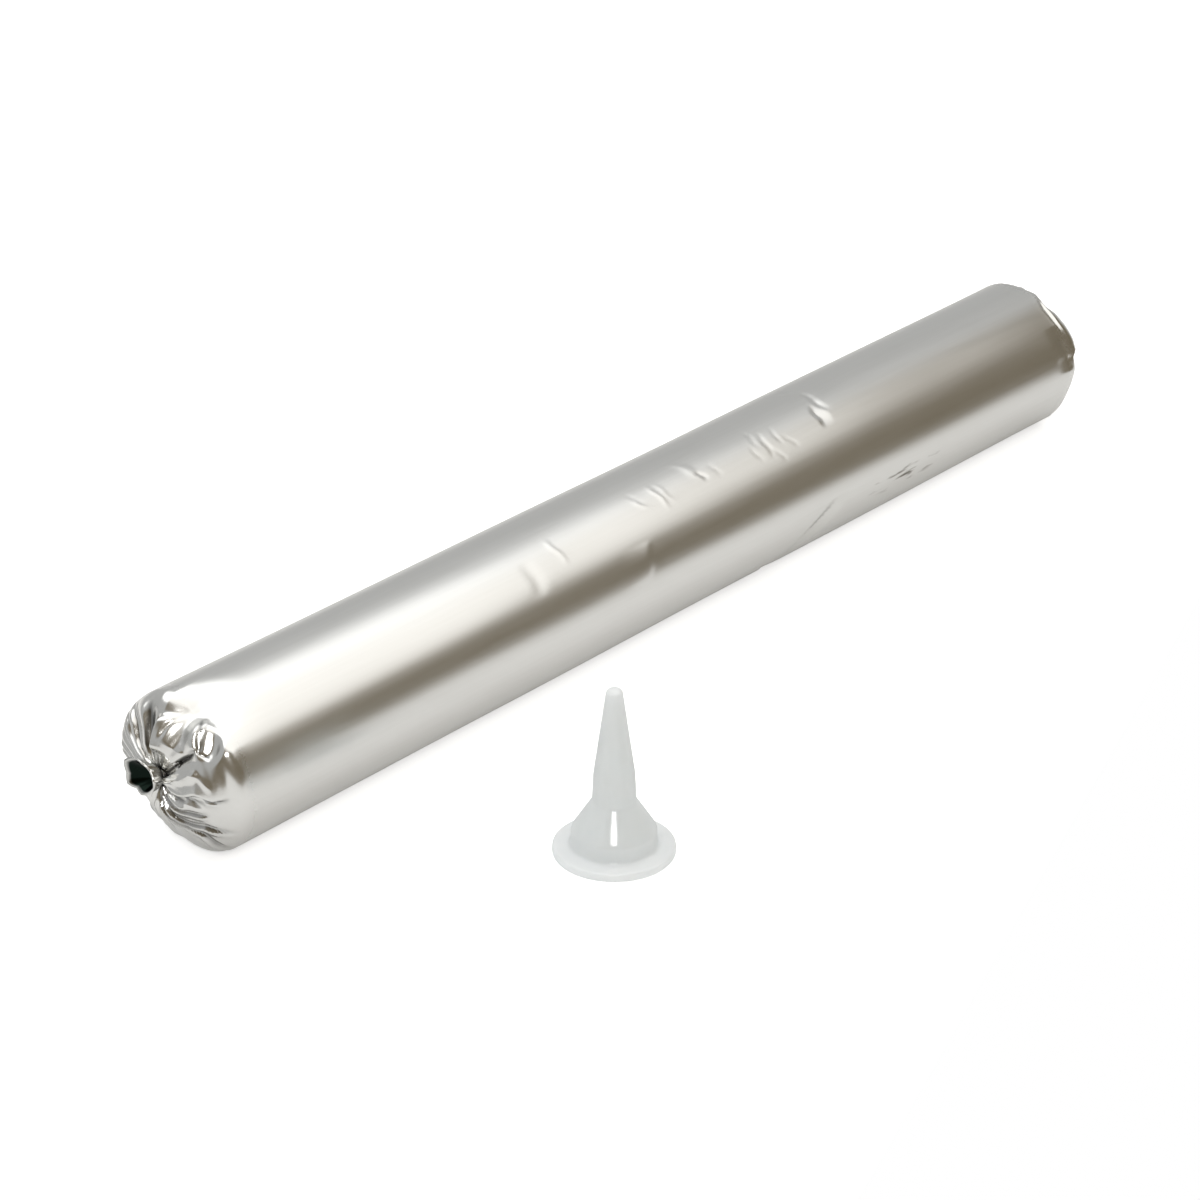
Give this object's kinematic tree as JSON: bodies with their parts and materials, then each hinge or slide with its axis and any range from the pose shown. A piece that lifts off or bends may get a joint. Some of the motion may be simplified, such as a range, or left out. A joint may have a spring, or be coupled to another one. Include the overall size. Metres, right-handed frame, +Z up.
{
  "type": "sealant foil pack with nozzle",
  "caption": "Soft foil sausage pack of joint sealant with clipped, pleated ends, lying flat, and its loose conical polyethylene nozzle standing beside it.",
  "frame": {"origin": "middle of the settled flat under the foil pack", "axes": "+X along the pack from its front gather to its rear gather, +Z up from the surface it lies on"},
  "size_m": [0.3944, 0.1242, 0.0481],
  "materials": {
    "foil": "satin laminate foil",
    "clip": "drawn wire",
    "nozzle": "translucent moulded polyethylene"
  },
  "bodies": {
    "root": {"foil_pack": "foil", "front_clip": "clip", "rear_clip": "clip", "nozzle": "nozzle"}
  },
  "joints": []
}
